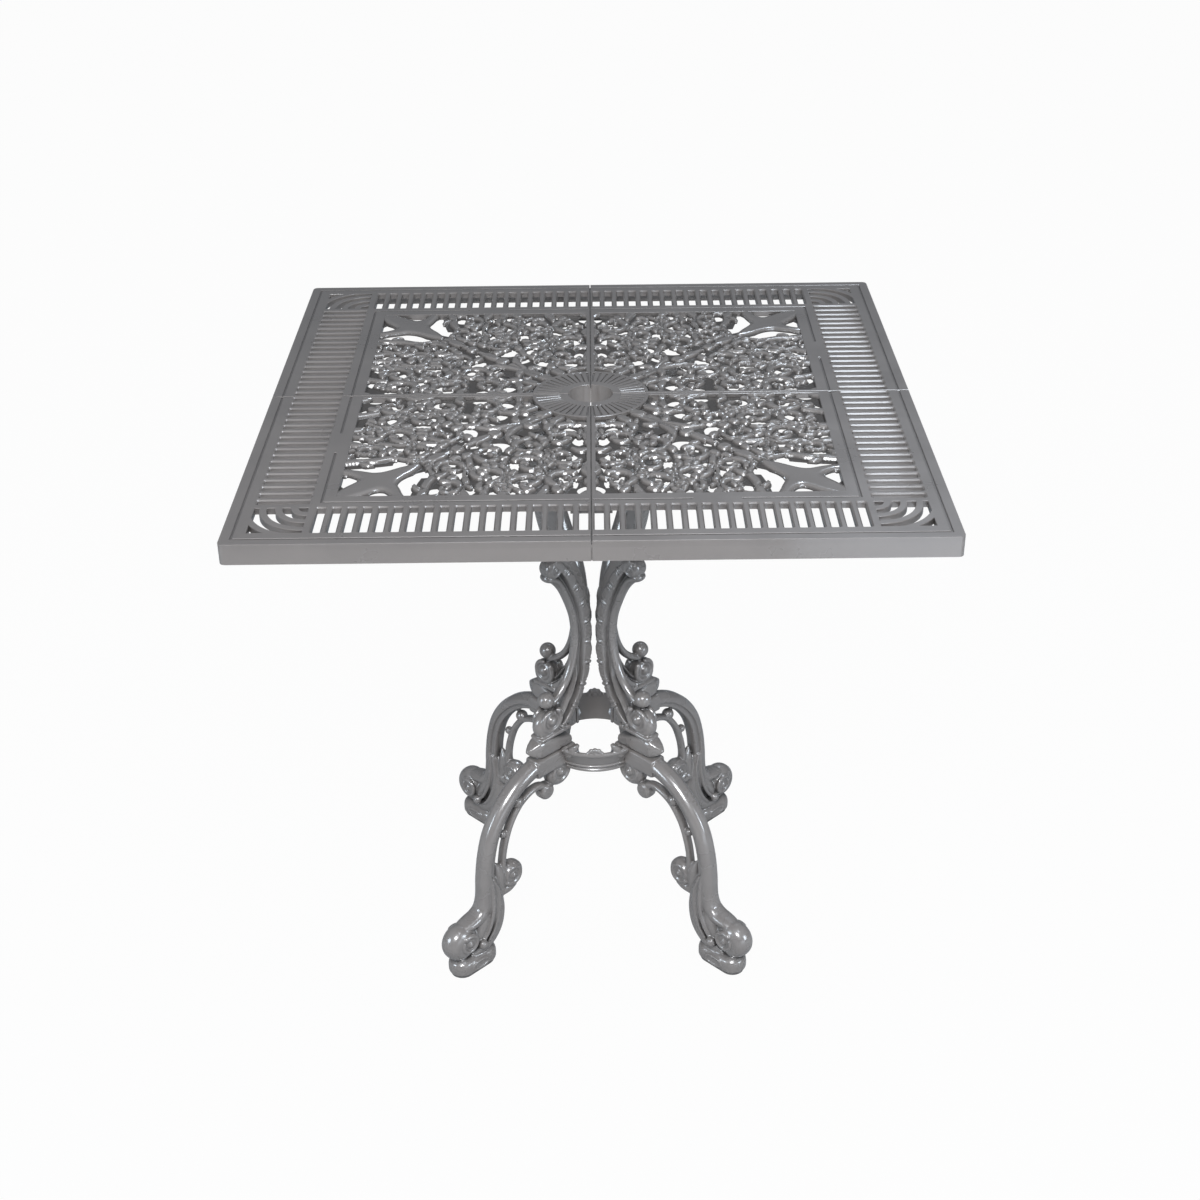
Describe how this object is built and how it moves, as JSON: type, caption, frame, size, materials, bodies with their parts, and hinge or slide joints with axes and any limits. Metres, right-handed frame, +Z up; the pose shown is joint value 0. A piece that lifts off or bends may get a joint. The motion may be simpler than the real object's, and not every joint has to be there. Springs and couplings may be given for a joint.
{
  "type": "umbrella table",
  "caption": "Square side table of scrolled cast plastic with slotted lattice top, central pole hole, curved legs and a ring between them.",
  "frame": {"origin": "on the floor under the middle of the pole hole", "axes": "+Z up; -Y is the front, the side nearest the camera in the picture; each leg stands on a diagonal"},
  "size_m": [0.75, 0.75, 0.73],
  "materials": {
    "table_plastic": "satin gloss, fine texture",
    "glide_plastic": "matte",
    "fastener_steel": "plain zinc"
  },
  "bodies": {
    "root": {"top_panel_back_right": "table_plastic", "top_panel_back_left": "table_plastic", "top_panel_front_left": "table_plastic", "top_panel_front_right": "table_plastic", "upper_bracket_back_right": "table_plastic", "upper_bracket_back_left": "table_plastic", "upper_bracket_front_left": "table_plastic", "upper_bracket_front_right": "table_plastic", "lower_leg_back_right": "table_plastic", "lower_leg_back_left": "table_plastic", "lower_leg_front_left": "table_plastic", "lower_leg_front_right": "table_plastic", "ring_band_right": "table_plastic", "ring_band_back": "table_plastic", "ring_band_left": "table_plastic", "ring_band_front": "table_plastic", "glide_back_right": "glide_plastic", "glide_back_left": "glide_plastic", "glide_front_left": "glide_plastic", "glide_front_right": "glide_plastic", "seam_tie_right": "glide_plastic", "seam_tie_back": "glide_plastic", "seam_tie_left": "glide_plastic", "seam_tie_front": "glide_plastic", "bracket_pad_screws": "fastener_steel", "seam_tie_screws": "fastener_steel", "glide_screws": "fastener_steel", "flange_studs": "fastener_steel", "flange_nuts": "fastener_steel", "flange_washers": "fastener_steel", "leg_dowels": "fastener_steel", "ring_bolts": "fastener_steel", "ring_nuts": "fastener_steel", "ring_washers": "fastener_steel"}
  },
  "joints": []
}
